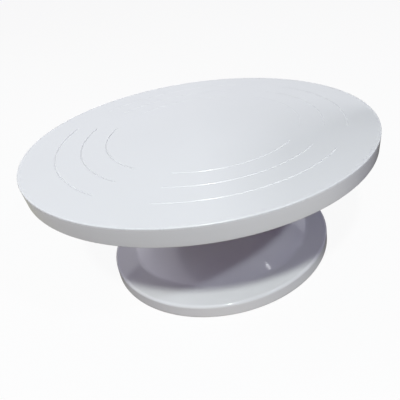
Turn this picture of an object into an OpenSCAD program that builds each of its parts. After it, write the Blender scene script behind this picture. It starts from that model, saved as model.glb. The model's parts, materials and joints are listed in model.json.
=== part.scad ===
// Cake turntable: a round plate that turns freely on a flared pedestal.
// Millimetres, +Z up. The origin is the centre of the footprint, on the table.

/* [Plate] */
// Diameter of the turning plate
plate_d = 305; // [295:1:320]
// Height of the plate's top face above the table
overall_h = 125.5; // [122:0.5:140]
// Depth of the skirt round the plate's edge
skirt_h = 15; // [12:0.5:18]
// Wall thickness of the skirt at its lower edge
skirt_t = 2.8; // [2.4:0.1:3.6]
// Radius of the rounded edge between the top face and the skirt
edge_r = 1; // [1:0.5:3.5]
// Number of radial stiffening ribs under the plate
plate_ribs = 12; // [4:4:12]

/* [Guide lines] */
// Radius of the innermost guide line
ring_r0 = 85; // [80:1:90]
// Step from one guide line to the next
ring_step = 20; // [10:1:24]
// Number of guide lines in each group
ring_n = 3; // [1:1:3]
// Width of a guide line
ring_w = 1.1; // [0.8:0.1:1.6]
// Depth of a guide line
ring_depth = 0.6; // [0.3:0.1:0.9]
// Angle that each of the four groups of lines covers
arc_span = 69; // [60:1:80]
// Direction of the middle of the first group, from +X
arc_mid = 23; // [0:1:45]

/* [Pedestal] */
// Diameter of the foot at the top of its rim
foot_d = 214; // [208:1:222]
// Height of the foot's rim above the table
foot_h = 13.1; // [12.5:0.1:16]
// Radius at which the flat flange turns up into the cone
flare_r = 89; // [86:1:92]
// Slope of the cone above the flange
cone_a = 40; // [36:1:42]
// Diameter of the neck
neck_d = 84; // [83:1:90]
// Radius that blends the cone into the neck
neck_blend = 36; // [24:1:40]
// Wall thickness of the pedestal shell
shell_t = 3.2; // [2.8:0.1:3.6]

/* [Fasteners and feet] */
// Number of screws that hold the bottom cover
cover_n = 6; // [4:1:8]
// Number of rubber feet
foot_n = 6; // [4:1:8]
// Diameter of one rubber foot
pad_d = 18; // [14:1:18]

/* [Hidden] */
$fn = 96;

// Colours shared by several nodes
bearing_steel = [0.75, 0.76, 0.78];
ball_steel = [0.8, 0.81, 0.83];
brass = [0.78, 0.66, 0.36];
screw_steel = [0.62, 0.63, 0.65];
circlip_steel = [0.35, 0.35, 0.37];

// Plate
plate_r = plate_d / 2;
disc_t = 4;
draft = 0.8; // the skirt's lean, outside
skirt_out_r = plate_r - draft;
skirt_in_r = skirt_out_r - skirt_t;
skirt_lip_r = 0.8;
rib_h = 5;
rib_t = 2;
rib_lap = 0.5; // how far the ribs run into the disc
ring_rib_t = 2.4;
ring_rib_radii = [11, 38, 75, 112];
hub_t = 3;

// Bearing sizes: shaft 12, thrust bearing 12 x 26 x 9, ball bearing 12 x 28 x 8
shaft_r = 6;
thrust_r = 13;
thrust_h = 9;
thrust_washer_t = 2.5;
thrust_pitch_r = 9.5;
thrust_n = 10;
bearing_r = 14;
bearing_h = 8;
bearing_pitch_r = 10;
bearing_n = 8;
inner_ring_r = 8.3; // outside of the inner ring
outer_ring_r = 11.8; // inside of the outer ring
ball_r = 2.381;
race_r = ball_r + 0.05;
pocket_r = ball_r + 0.07;
fit = 0.01; // radial gap between fixed parts
run = 0.05; // radial gap between the spindle and its bush

// Heights of the turning stack, from the top down
z_under = overall_h - disc_t; // underside of the disc
z_hub_top = z_under - rib_h;
z_hub = z_hub_top - hub_t;
z_collar = z_hub - 6.5; // foot of the hub's collar
z_thrust = z_collar - thrust_h; // seat of the thrust bearing
z_thrust_mid = z_thrust + thrust_h / 2;
z_deck = z_thrust + 3; // pedestal face that carries the housing
z_lip = z_deck + 8.5; // top of the pedestal
z_bearing_top = z_thrust - 38;
z_bearing = z_bearing_top - bearing_h;
z_bearing_mid = z_bearing + bearing_h / 2;
z_tube = z_bearing - 5; // lower end of the housing
z_spindle = z_bearing - 6; // lower end of the spindle
z_bush = z_thrust - 16;
z_bush_top = z_thrust - 0.5;

// Housing and the retaining rings
housing_r = 20;
housing_flange_t = 4;
bush_r = 8;
flange_edge_r = 0.8; // rounding of the hub and housing flanges
circlip_groove = 0.25;

// Screws: small ones in the hub and the cover, large ones in the housing
small_screw_d = 3.36;
small_pilot_r = small_screw_d / 2 + 0.02;
small_clear_r = 2.2;
large_screw_d = 4.16;
large_pilot_r = large_screw_d / 2 + 0.02;
large_clear_r = 2.75;

// Diameters of the circles that the screws and feet stand on
hub_pcd = 54;
deck_pcd = 58;
cover_pcd = 160;
pad_pcd = 184;

// Bottom cover
cover_z = 3;
cover_t = 2;

// Pedestal section, at +X: flange, cone and neck lines run inwards and up,
// each at its own slope, and meet at flare and waist
z_foot = 1;
foot_r = foot_d / 2;
neck_r = neck_d / 2;
rim_r = 2.7;
flare_blend = 7;
neck_a = 90;
rim_top = [foot_r - rim_r, foot_h];
flare = [flare_r - 2.5, foot_h + 1.1];
flange_a = atan2(flare[1] - rim_top[1], rim_top[0] - flare[0]);
waist = [neck_r, flare[1] + (flare[0] - neck_r) * tan(cone_a)];
recess_r = neck_r - shell_t + 0.2;
lip_edge_r = 1;

// Unit vector inwards along a line of the given slope, and its outward normal
function along(slope) = [-cos(slope), sin(slope)];
function normal(slope) = [sin(slope), cos(slope)];

// Corner between two lines after both move inwards by depth
function inset(corner, normal_a, normal_b, depth) =
    corner - depth * (normal_a + normal_b) / (1 + normal_a * normal_b);

// ---- Placing ----

// Copies turned evenly about Z, the first at angle start
module around(count, start = 0)
    for (i = [0 : count - 1])
        rotate([0, 0, start + i * 360 / count]) children();

module on_circle(count, radius, z, start = 0)
    around(count, start) translate([radius, 0, z]) children();

module at_hub_screws(z) on_circle(4, hub_pcd / 2, z, 45) children();

module at_deck_screws(z) on_circle(4, deck_pcd / 2, z) children();

module at_cover_screws(z) on_circle(cover_n, cover_pcd / 2, z) children();

module at_pads(z) on_circle(foot_n, pad_pcd / 2, z, 180 / foot_n) children();

// ---- Shared shapes ----

// Section of a plain ring
module ring_section(inner_r, outer_r, z, height)
    translate([inner_r, z]) square([outer_r - inner_r, height]);

// Section of a bore, a little past the axis, for cutting
module bore(radius, z_from, z_to)
    translate([-1, z_from]) square([1 + radius, z_to - z_from]);

// Section of a disc with a rounded rim
module flange_section(radius, z, thick) {
    edge = flange_edge_r;
    translate([0, z]) square([radius - edge, thick]);
    translate([0, z + edge]) square([radius, thick - 2 * edge]);
    for (edge_z = [z + edge, z + thick - edge])
        translate([radius - edge, edge_z]) circle(r = edge);
}

// Bearing ring with a groove for the balls
module race(inner_r, outer_r, z, height, pitch_r, ball_z)
    rotate_extrude() difference() {
        ring_section(inner_r, outer_r, z, height);
        translate([pitch_r, ball_z]) circle(r = race_r);
    }

// Cross-recessed pan-head screw, head up, seat at z = 0
module screw(shank_d, length, head_d, head_h) {
    shank_r = shank_d / 2;
    head_r = head_d / 2;
    tip_h = 1;
    difference() {
        union() {
            translate([0, 0, -length + tip_h]) cylinder(h = length - tip_h + 0.2, r = shank_r);
            translate([0, 0, -length]) cylinder(h = tip_h + 0.01, r1 = shank_r - 0.8, r2 = shank_r);
            // head in three steps, lapped slightly
            cylinder(h = head_h * 0.55, r = head_r);
            translate([0, 0, head_h * 0.55 - 0.001])
                cylinder(h = head_h * 0.3, r1 = head_r, r2 = head_r - 0.5);
            translate([0, 0, head_h * 0.85 - 0.002])
                cylinder(h = head_h * 0.15, r1 = head_r - 0.5, r2 = head_r - 1.2);
        }
        for (a = [0, 90]) rotate([0, 0, a])
            translate([-head_d * 0.3, -head_d * 0.065, head_h * 0.35])
                cube([head_d * 0.6, head_d * 0.13, head_h]);
    }
}

// ---- Plate and hub ----

// One group of guide-line grooves, from +X anticlockwise
module guide_lines() {
    half_w = ring_w / 2;
    floor_half_w = 0.15;
    for (i = [0 : ring_n - 1])
        rotate_extrude(angle = arc_span)
            translate([ring_r0 + i * ring_step, overall_h])
                polygon([[-half_w - 0.1, 0.2], [-half_w, 0], [-floor_half_w, -ring_depth],
                    [floor_half_w, -ring_depth], [half_w, 0], [half_w + 0.1, 0.2]]);
}

module plate_section() {
    z_skirt = overall_h - skirt_h;
    z_lip_mid = z_skirt + skirt_lip_r;
    z_edge = overall_h - edge_r;
    lean = 0.4; // the skirt's lean, inside
    fillet_r = 2;
    fillet_x = skirt_in_r + lean - fillet_r;
    z_fillet = z_under - fillet_r;
    difference() {
        union() {
            polygon([[0, z_lip_mid], [skirt_out_r, z_lip_mid], [plate_r, z_edge], [0, z_edge]]);
            translate([0, z_skirt]) square([skirt_out_r - skirt_lip_r, skirt_lip_r + 0.5]);
            translate([skirt_out_r - skirt_lip_r, z_lip_mid]) circle(r = skirt_lip_r);
            translate([0, z_edge - 0.5]) square([plate_r - edge_r, edge_r + 0.5]);
            translate([plate_r - edge_r, z_edge]) circle(r = edge_r);
        }
        // hollow underside, with a fillet between disc and skirt
        polygon([[-5, z_skirt - 1], [skirt_in_r, z_skirt - 1], [skirt_in_r + lean, z_fillet],
            [fillet_x, z_fillet], [fillet_x, z_under], [-5, z_under]]);
        translate([fillet_x, z_fillet]) circle(r = fillet_r);
        // nothing past the axis
        translate([-20, 0]) square([20, 200]);
    }
}

module turntable_plate() color([0.93, 0.94, 0.95]) difference() {
    rib_start = 10;
    union() {
        rotate_extrude() plate_section();
        // radial ribs
        around(plate_ribs) translate([rib_start, -rib_t / 2, z_hub_top])
            cube([skirt_in_r + 1 - rib_start, rib_t, rib_h + rib_lap]);
        // ring ribs
        for (r = ring_rib_radii) translate([0, 0, z_hub_top]) difference() {
            cylinder(h = rib_h + rib_lap, r = r + ring_rib_t / 2);
            translate([0, 0, -1]) cylinder(h = rib_h + 3, r = r - ring_rib_t / 2);
            translate([0, 0, rib_h + 0.4]) cylinder(h = 3, r = r + 3);
        }
        // screw bosses
        at_hub_screws(z_hub_top) cylinder(h = rib_h + rib_lap, r = 4.5);
    }
    at_hub_screws(z_hub_top - 1) cylinder(h = rib_h + 3, r = small_pilot_r);
    around(4, arc_mid - arc_span / 2) guide_lines();
}

module hub_flange() color([0.72, 0.73, 0.75]) difference() {
    collar_r = 11;
    inside_r = collar_r - 0.5;
    rotate_extrude() difference() {
        union() {
            flange_section(35, z_hub, hub_t - 0.02);
            translate([0, z_collar]) square([collar_r, 8]);
            // chamfer between collar and flange
            polygon([[inside_r, z_hub - 2.5], [collar_r, z_hub - 2.5],
                [collar_r + 2.5, z_hub], [collar_r + 2.5, z_hub + 0.5], [inside_r, z_hub + 0.5]]);
        }
        bore(shaft_r + fit, z_collar - 5, z_collar + 25);
    }
    at_hub_screws(z_hub - 1) cylinder(h = 5, r = small_clear_r);
    // lightening holes between the screws
    on_circle(4, hub_pcd / 2 - 3, z_hub - 1) cylinder(h = 5, r = 4);
}

module hub_screws() color(screw_steel)
    at_hub_screws(z_hub) mirror([0, 0, 1])
        screw(shank_d = small_screw_d, length = 9, head_d = 8, head_h = 2.7);

module spindle() color([0.68, 0.69, 0.71]) rotate_extrude() difference() {
    top = z_hub_top - 0.1;
    polygon([[0, z_spindle], [shaft_r - 1, z_spindle], [shaft_r, z_spindle + 1],
        [shaft_r, top - 0.5], [shaft_r - 0.5, top], [0, top]]);
    // circlip groove
    translate([shaft_r - circlip_groove, z_bearing - 2.3]) square([2, 1.2]);
}

// ---- Thrust bearing ----

module thrust_washer_upper() color(bearing_steel)
    race(shaft_r + fit, thrust_r, z_collar - thrust_washer_t, thrust_washer_t,
        thrust_pitch_r, z_thrust_mid);

module thrust_washer_lower() color(bearing_steel)
    race(6.5, thrust_r, z_thrust, thrust_washer_t, thrust_pitch_r, z_thrust_mid);

module thrust_cage() color(brass) difference() {
    rotate_extrude() ring_section(6.9, 12.3, z_thrust_mid - 1.2, 2.4);
    on_circle(thrust_n, thrust_pitch_r, z_thrust_mid - 3)
        cylinder(h = 6, r = pocket_r, $fn = 48);
}

module thrust_balls() color(ball_steel)
    on_circle(thrust_n, thrust_pitch_r, z_thrust_mid) sphere(r = ball_r, $fn = 48);

// ---- Housing and bush ----

module bearing_housing() color([0.66, 0.67, 0.69]) difference() {
    rotate_extrude() difference() {
        union() {
            translate([0, z_tube]) square([housing_r, z_deck - z_tube + 1]);
            flange_section(37, z_deck, housing_flange_t);
        }
        // bores, from the lower end up
        bore(bearing_r + fit, z_tube - 1, z_bearing_top);
        bore(10, z_bearing_top - 1, z_thrust - 18);
        bore(7, z_thrust - 19, z_thrust - 14);
        bore(bush_r + fit, z_bush, z_thrust + 4);
        bore(thrust_r + fit, z_thrust, z_thrust + 10);
        bore(13.6, z_thrust + 3.5, z_thrust + 13.5);
        // circlip groove
        bore(14.7, z_bearing - 1.45, z_bearing - 0.2);
    }
    at_deck_screws(z_deck - 1) cylinder(h = 8, r = large_clear_r);
}

module housing_screws() color(screw_steel)
    at_deck_screws(z_deck + housing_flange_t)
        screw(shank_d = large_screw_d, length = 15, head_d = 9.5, head_h = 3.2);

module guide_bush() color([0.86, 0.84, 0.76]) {
    bore_r = shaft_r + run;
    chamfer = 0.4;
    rotate_extrude()
        polygon([[bore_r + chamfer, z_bush], [bush_r - chamfer, z_bush],
            [bush_r, z_bush + chamfer], [bush_r, z_bush_top - chamfer],
            [bush_r - chamfer, z_bush_top], [bore_r + chamfer, z_bush_top],
            [bore_r, z_bush_top - chamfer], [bore_r, z_bush + chamfer]]);
}

// ---- Ball bearing ----

module bearing_inner_ring() color(bearing_steel)
    race(shaft_r + fit, inner_ring_r, z_bearing, bearing_h, bearing_pitch_r, z_bearing_mid);

module bearing_outer_ring() color(bearing_steel)
    race(outer_ring_r, bearing_r, z_bearing, bearing_h, bearing_pitch_r, z_bearing_mid);

module bearing_cage() color(brass) difference() {
    rotate_extrude()
        ring_section(bearing_pitch_r - 0.7, bearing_pitch_r + 0.7, z_bearing_mid - 3, 6);
    on_circle(bearing_n, bearing_pitch_r, z_bearing_mid) sphere(r = pocket_r, $fn = 48);
}

module bearing_balls() color(ball_steel)
    on_circle(bearing_n, bearing_pitch_r, z_bearing_mid) sphere(r = ball_r, $fn = 48);

module bearing_shields() color([0.6, 0.61, 0.63])
    for (z = [-3.7, 3.3]) rotate_extrude()
        ring_section(inner_ring_r + 0.15, outer_ring_r - 0.01, z_bearing_mid + z, 0.4);

module shim_washer() color([0.7, 0.71, 0.73])
    rotate_extrude() ring_section(6.1, 8.2, z_bearing - 1.05, 1);

// ---- Split retaining rings, each with two lugs beside the gap ----

// Round the spindle, gap towards +X
module spindle_circlip() color(circlip_steel) {
    thick = 1;
    lug_x = 8.2;
    lug_angles = [-24, 24];
    translate([0, 0, z_bearing - 2.2]) difference() {
        union() {
            cylinder(h = thick, r = 7.9);
            for (a = lug_angles) rotate([0, 0, a])
                translate([lug_x, 0, 0]) cylinder(h = thick, r = 1.5);
        }
        translate([0, 0, -1]) cylinder(h = 3, r = shaft_r - circlip_groove + fit);
        translate([4, -2, -1]) cube([8, 4, 3]);
        for (a = lug_angles) rotate([0, 0, a])
            translate([lug_x, 0, -1]) cylinder(h = 3, r = 0.7);
    }
}

// Inside the housing, gap towards -X
module housing_circlip() color(circlip_steel) {
    thick = 1.15;
    cut_h = 3.2;
    lug_angles = [164, 196];
    translate([0, 0, z_bearing - 1.4]) difference() {
        union() {
            difference() {
                cylinder(h = thick, r = 14.65);
                translate([0, 0, -1]) cylinder(h = cut_h, r = 12.3);
            }
            for (a = lug_angles) rotate([0, 0, a])
                translate([11.8, 0, 0]) cylinder(h = thick, r = 1.6);
        }
        translate([-16, -1.6, -1]) cube([8, 3.2, cut_h]);
        for (a = lug_angles) rotate([0, 0, a])
            translate([11.6, 0, -1]) cylinder(h = cut_h, r = 0.75);
    }
}

// ---- Pedestal ----

// Fills the hollow corner between two lines, up to an arc tangent to both
module blend(corner, slope_in, slope_out, radius) {
    reach = radius * tan((slope_out - slope_in) / 2);
    start = corner - reach * along(slope_in);
    centre = start + radius * normal(slope_in);
    difference() {
        polygon([start, centre, corner + reach * along(slope_out), corner]);
        translate(centre) circle(r = radius);
    }
}

// Section of the pedestal's outer form, moved inwards by depth, up to z_top
module pedestal_section(depth, z_top) {
    flare_in = inset(flare, normal(flange_a), normal(cone_a), depth);
    waist_in = inset(waist, normal(cone_a), normal(neck_a), depth);
    rim_in = rim_top - depth * normal(flange_a);
    round_r = max(rim_r - depth, 0.4);
    z_bottom = depth > 0 ? -4 : z_foot; // a cavity runs out through the bottom
    side_r = foot_r - depth;
    round_x = side_r - round_r;
    z_round = rim_in[1] - round_r;
    difference() {
        union() {
            polygon([[0, z_bottom], [side_r + 0.3, z_bottom], [side_r, z_round],
                [round_x, z_round], [0, z_round]]);
            polygon([[0, z_round - 0.5], [round_x, z_round - 0.5], [round_x, rim_in[1]],
                rim_in, flare_in, waist_in, [waist_in[0], z_top], [0, z_top]]);
            translate([round_x, z_round]) circle(r = round_r);
            blend(flare_in, flange_a, cone_a, flare_blend + depth);
            blend(waist_in, cone_a, neck_a, neck_blend + depth);
        }
        // nothing past the axis
        translate([-10, z_bottom - 1]) square([10, z_top + 10]);
    }
}

// Hollow inside of the pedestal, left solid where the ribs, bosses and sleeve stand
module pedestal_cavity() difference() {
    rib_w = 2.4;
    rotate_extrude() pedestal_section(shell_t, z_deck - 4);
    // sleeve round the bearing housing
    translate([0, 0, z_bearing + 2]) cylinder(h = z_deck - z_bearing, r = 23.5);
    // radial ribs
    around(8, 22.5) rotate([90, 0, 0])
        translate([0, 0, -rib_w / 2]) linear_extrude(height = rib_w)
            polygon([[22, z_bearing + 4], [22, z_deck], [foot_r - 1, z_deck],
                [foot_r - 1, 8], [66, 8]]);
    // screw bosses
    at_deck_screws(z_deck - 18) cylinder(h = 20, r = 5);
    at_cover_screws(cover_z + cover_t) cylinder(h = 40, r = 4.5);
}

module pedestal_shell() color([0.92, 0.93, 0.94]) difference() {
    lip_in = recess_r + lip_edge_r;
    lip_out = neck_r - lip_edge_r;
    hole_r = housing_r + 0.4;
    // outer form with a recess in the top for the housing, and a rounded lip
    rotate_extrude() difference() {
        union() {
            pedestal_section(0, z_lip - lip_edge_r);
            translate([lip_in, z_lip - 1.5]) square([lip_out - lip_in, 1.5]);
            for (x = [lip_in, lip_out])
                translate([x, z_lip - lip_edge_r]) circle(r = lip_edge_r);
        }
        bore(recess_r, z_deck, z_deck + 12);
    }
    pedestal_cavity();
    // hole for the housing, in two overlapping lengths
    translate([0, 0, z_deck - 20]) cylinder(h = 30, r = hole_r);
    translate([0, 0, z_bearing - 10]) cylinder(h = z_deck - z_bearing, r = hole_r);
    // pilot holes
    at_deck_screws(z_deck - 15.5) cylinder(h = 20, r = large_pilot_r);
    at_cover_screws(cover_z) cylinder(h = 12.5, r = small_pilot_r);
}

// ---- Bottom cover and feet ----

pad_sink = 0.5; // depth of the pockets that hold the feet

module base_cover() color([0.25, 0.26, 0.27]) difference() {
    translate([0, 0, cover_z]) cylinder(h = cover_t, r = foot_r - shell_t - 0.5);
    at_cover_screws(cover_z - 1) cylinder(h = 5, r = small_clear_r);
    at_pads(cover_z - 1) cylinder(h = 1 + pad_sink, r = pad_d / 2 + 0.1);
}

module cover_screws() color(screw_steel)
    at_cover_screws(cover_z) mirror([0, 0, 1])
        screw(shank_d = small_screw_d, length = 11, head_d = 7.5, head_h = 2);

module rubber_feet() color([0.12, 0.12, 0.13]) {
    pad_r = pad_d / 2;
    chamfer = 0.7;
    top = cover_z + pad_sink - 0.02;
    at_pads(0) rotate_extrude()
        polygon([[0, 0], [pad_r - chamfer, 0], [pad_r, chamfer], [pad_r, top], [0, top]]);
}

turntable_plate();
hub_flange();
hub_screws();
spindle();
thrust_washer_upper();
thrust_cage();
thrust_balls();
thrust_washer_lower();
bearing_housing();
housing_screws();
guide_bush();
bearing_inner_ring();
bearing_cage();
bearing_balls();
bearing_outer_ring();
bearing_shields();
shim_washer();
spindle_circlip();
housing_circlip();
pedestal_shell();
base_cover();
cover_screws();
rubber_feet();
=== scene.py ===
import json
import math
import bpy
import bmesh
from mathutils import Matrix, Vector


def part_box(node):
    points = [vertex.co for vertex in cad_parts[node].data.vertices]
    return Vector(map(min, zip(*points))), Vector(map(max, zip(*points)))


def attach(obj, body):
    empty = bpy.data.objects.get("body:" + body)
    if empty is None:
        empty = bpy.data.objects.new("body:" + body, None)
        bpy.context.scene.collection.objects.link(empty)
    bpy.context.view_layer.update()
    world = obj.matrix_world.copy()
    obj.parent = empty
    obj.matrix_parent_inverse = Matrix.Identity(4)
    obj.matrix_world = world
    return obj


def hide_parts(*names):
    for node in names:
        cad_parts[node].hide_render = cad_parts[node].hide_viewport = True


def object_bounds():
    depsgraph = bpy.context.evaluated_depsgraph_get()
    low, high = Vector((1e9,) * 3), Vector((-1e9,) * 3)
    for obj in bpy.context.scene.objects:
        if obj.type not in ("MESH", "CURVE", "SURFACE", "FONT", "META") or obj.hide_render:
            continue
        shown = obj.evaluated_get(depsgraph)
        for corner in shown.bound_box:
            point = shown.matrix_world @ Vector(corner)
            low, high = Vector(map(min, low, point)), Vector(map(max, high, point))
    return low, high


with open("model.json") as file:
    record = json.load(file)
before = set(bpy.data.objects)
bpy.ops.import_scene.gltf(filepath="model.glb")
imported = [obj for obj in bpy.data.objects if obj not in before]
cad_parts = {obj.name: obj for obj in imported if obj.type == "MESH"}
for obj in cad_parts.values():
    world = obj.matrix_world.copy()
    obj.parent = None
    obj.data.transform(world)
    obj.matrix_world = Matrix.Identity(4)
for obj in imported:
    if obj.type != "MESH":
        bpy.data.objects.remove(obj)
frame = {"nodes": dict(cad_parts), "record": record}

cad_lo, cad_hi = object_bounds()
sc = bpy.context.scene
nodes = frame["nodes"]


# ---------------------------------------------------------------- node helpers
class G:
    """A small wrapper that adds nodes to one material."""

    def __init__(self, name):
        self.m = bpy.data.materials.new(name)
        self.m.use_nodes = True
        self.t = self.m.node_tree
        self.b = self.t.nodes["Principled BSDF"]
        self.out = self.t.nodes["Material Output"]
        self.co = self.n("ShaderNodeTexCoord").outputs["Object"]

    def n(self, kind, **kw):
        x = self.t.nodes.new(kind)
        for k, v in kw.items():
            setattr(x, k, v)
        return x

    def link(self, a, b):
        self.t.links.new(a, b)

    def put(self, sock, v):
        if isinstance(v, bpy.types.NodeSocket):
            self.link(v, sock)
        else:
            sock.default_value = v

    def math(self, op, a, b=0.0, c=0.0, clamp=False):
        x = self.n("ShaderNodeMath", operation=op, use_clamp=clamp)
        for i, v in enumerate((a, b, c)):
            self.put(x.inputs[i], v)
        return x.outputs[0]

    def xyz(self, v=None):
        x = self.n("ShaderNodeSeparateXYZ")
        self.link(v or self.co, x.inputs[0])
        return x.outputs

    def combine(self, a, b, c):
        x = self.n("ShaderNodeCombineXYZ")
        for i, v in enumerate((a, b, c)):
            self.put(x.inputs[i], v)
        return x.outputs[0]

    def noise(self, scale, detail=3.0, rough=0.55, vec=None, dist=0.0, seed=0.0):
        x = self.n("ShaderNodeTexNoise", noise_dimensions="4D")
        self.link(vec or self.co, x.inputs["Vector"])
        x.inputs["W"].default_value = seed
        x.inputs["Scale"].default_value = scale
        x.inputs["Detail"].default_value = detail
        x.inputs["Roughness"].default_value = rough
        x.inputs["Distortion"].default_value = dist
        return x.outputs["Fac"]

    def voronoi(self, scale, vec=None, feature="F1", rnd=1.0):
        x = self.n("ShaderNodeTexVoronoi", feature=feature)
        self.link(vec or self.co, x.inputs["Vector"])
        x.inputs["Scale"].default_value = scale
        x.inputs["Randomness"].default_value = rnd
        return x.outputs["Distance"]

    def ramp(self, fac, lo, hi, a=0.0, b=1.0, smooth=True):
        x = self.n("ShaderNodeMapRange", interpolation_type="SMOOTHSTEP" if smooth else "LINEAR")
        self.put(x.inputs["Value"], fac)
        x.inputs["From Min"].default_value = lo
        x.inputs["From Max"].default_value = hi
        x.inputs["To Min"].default_value = a
        x.inputs["To Max"].default_value = b
        return x.outputs["Result"]

    def mix(self, fac, a, b):
        x = self.n("ShaderNodeMix", data_type="RGBA")
        self.put(x.inputs["Factor"], fac)
        for i, v in ((6, a), (7, b)):
            self.put(x.inputs[i], (*v, 1.0) if isinstance(v, tuple) and len(v) == 3 else v)
        return x.outputs[2]

    def bump(self, height, dist, strength=1.0, normal=None):
        x = self.n("ShaderNodeBump")
        x.inputs["Strength"].default_value = strength
        x.inputs["Distance"].default_value = dist
        self.link(height, x.inputs["Height"])
        if normal is not None:
            self.link(normal, x.inputs["Normal"])
        return x.outputs["Normal"]

    def set(self, **kw):
        names = {"color": "Base Color", "rough": "Roughness", "metal": "Metallic", "normal": "Normal",
                 "spec": "Specular IOR Level", "coat": "Coat Weight", "coat_rough": "Coat Roughness",
                 "aniso": "Anisotropic", "ior": "IOR", "sss": "Subsurface Weight"}
        for k, v in kw.items():
            s = self.b.inputs[names[k]]
            if k == "color" and isinstance(v, tuple) and len(v) == 3:
                v = (*v, 1.0)
            self.put(s, v)
        return self.m


def tint(c, k):
    return tuple(min(1.0, x * k) for x in c)


def polar(g):
    """Radius and angle about the turning axis."""
    x, y, z = g.xyz()
    r = g.math("SQRT", g.math("ADD", g.math("MULTIPLY", x, x), g.math("MULTIPLY", y, y)))
    a = g.math("ARCTAN2", y, x)
    return r, a, z


# ------------------------------------------------------------------- materials
def white_plastic(name, base, rough, peel, scuff, seed, groove_top=None):
    """Moulded white plastic: slow colour drift, orange peel, fine turning scratches, rubbed edges, painted shade in
    corners and grooves.
    """
    g = G(name)
    r, a, z = polar(g)
    drift = g.noise(7.0, 2.0, 0.5, seed=seed)
    cloud = g.noise(38.0, 4.0, 0.6, seed=seed + 3)
    col = g.mix(g.ramp(drift, 0.3, 0.7), tint(base, 0.975), tint(base, 1.0))
    col = g.mix(g.ramp(cloud, 0.35, 0.75, 0.0, 0.35), col, (base[0] * 0.985, base[1] * 0.985, base[2] * 0.97))
    # flow marks left by moulding, running out from the centre
    flow_v = g.combine(g.math("MULTIPLY", r, 9.0), g.math("MULTIPLY", a, 2.2), g.math("MULTIPLY", z, 6.0))
    flow = g.noise(1.0, 3.0, 0.5, vec=flow_v, seed=seed + 5)
    col = g.mix(g.ramp(flow, 0.45, 0.75, 0.0, 0.25), col, tint(base, 0.97))
    # scratches that follow the turning direction
    sv = g.combine(g.math("MULTIPLY", r, 5200.0), g.math("MULTIPLY", a, 2.6), g.math("MULTIPLY", z, 900.0))
    s1 = g.noise(1.0, 2.0, 0.6, vec=sv, seed=seed + 7)
    arcs = g.ramp(s1, 0.70, 0.78)
    patch = g.ramp(g.noise(16.0, 3.0, 0.6, seed=seed + 9), 0.48, 0.68)
    arcs = g.math("MULTIPLY", arcs, patch)
    # a few straight scratches in two directions
    x, y, zz = g.xyz()
    straight = None
    for k, ang in enumerate((0.6, 2.1)):
        u = g.math("ADD", g.math("MULTIPLY", x, math.cos(ang)), g.math("MULTIPLY", y, math.sin(ang)))
        v = g.math("SUBTRACT", g.math("MULTIPLY", y, math.cos(ang)), g.math("MULTIPLY", x, math.sin(ang)))
        q = g.noise(1.0, 1.0, 0.5, seed=seed + 11 + k,
                    vec=g.combine(g.math("MULTIPLY", u, 26.0), g.math("MULTIPLY", v, 2300.0), g.math("MULTIPLY", zz, 300.0)))
        q = g.ramp(q, 0.735, 0.78)
        straight = q if straight is None else g.math("MAXIMUM", straight, q)
    marks = g.math("MULTIPLY", g.math("MAXIMUM", arcs, straight), scuff, clamp=True)
    # dust specks
    speck = g.ramp(g.voronoi(210.0), 0.045, 0.02)
    keep = g.ramp(g.noise(90.0, 0.0, 0.5, seed=seed + 21), 0.63, 0.66)
    speck = g.math("MULTIPLY", speck, keep)
    col = g.mix(g.math("MULTIPLY", speck, 0.35), col, (0.42, 0.41, 0.40))
    # painted shade: the colour is darkened where the surface is occluded, in inside corners and grooves, and the same
    # mask makes the skin rougher there
    ao = g.n("ShaderNodeAmbientOcclusion", samples=6, only_local=True)
    ao.inputs["Distance"].default_value = 0.004
    painted_crevice_shade = g.ramp(ao.outputs["AO"], 0.25, 0.7, 0.22, 0.0)
    col = g.mix(painted_crevice_shade, col, (base[0] * 0.72, base[1] * 0.71, base[2] * 0.69))
    rr = g.ramp(g.noise(120.0, 3.0, 0.6, seed=seed + 2), 0.3, 0.7, rough * 0.86, rough * 1.16)
    rr = g.math("ADD", rr, g.math("MULTIPLY", marks, 0.10))
    rr = g.math("ADD", rr, g.math("MULTIPLY", painted_crevice_shade, 0.5))
    if groove_top is not None:
        # painted shade: the grooves of the group centred at 203 degrees are darkened in colour, less on the outer ring;
        # all the guide lines keep a duller skin
        deep = g.ramp(z, groove_top - 0.00002, groove_top - 0.00014)
        deep = g.math("MULTIPLY", deep, g.math("GREATER_THAN", z, groove_top - 0.0008))
        deep = g.math("MULTIPLY", deep, g.math("LESS_THAN", r, 0.14))
        side = g.ramp(g.math("COSINE", g.math("SUBTRACT", a, math.radians(203.0))), 0.55, 0.82)
        side = g.math("MULTIPLY", side, g.ramp(r, 0.11, 0.12, 1.0, 0.4))
        painted_groove_shade = g.math("MULTIPLY", deep, g.math("ADD", GROOVE_SHADE[0], g.math("MULTIPLY", side, GROOVE_SHADE[1])))
        col = g.mix(painted_groove_shade, col, (base[0] * 0.5, base[1] * 0.5, base[2] * 0.5))
        rr = g.math("ADD", rr, g.math("MULTIPLY", deep, 0.25))
        # hands rub the rim duller
        rim = g.math("MULTIPLY", g.ramp(r, 0.1505, 0.1517), g.math("GREATER_THAN", z, groove_top - 0.0018))
        rr = g.math("ADD", rr, g.math("MULTIPLY", rim, 0.22))
    peel_h = g.noise(230.0, 2.0, 0.5, seed=seed + 4)
    broad = g.noise(26.0, 1.0, 0.5, seed=seed + 6)
    n1 = g.bump(broad, 0.00003, peel)
    n2 = g.bump(peel_h, 0.0000015, peel, n1)
    n3 = g.bump(g.math("MULTIPLY", marks, -1.0), 0.0000015, 0.5, n2)
    return g.set(color=col, rough=rr, normal=n3, spec=0.5, ior=1.54)


# painted shade in the guide grooves: darkening for every group, then extra for the group at 203 degrees
GROOVE_SHADE = (0.0, 0.34)


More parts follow.
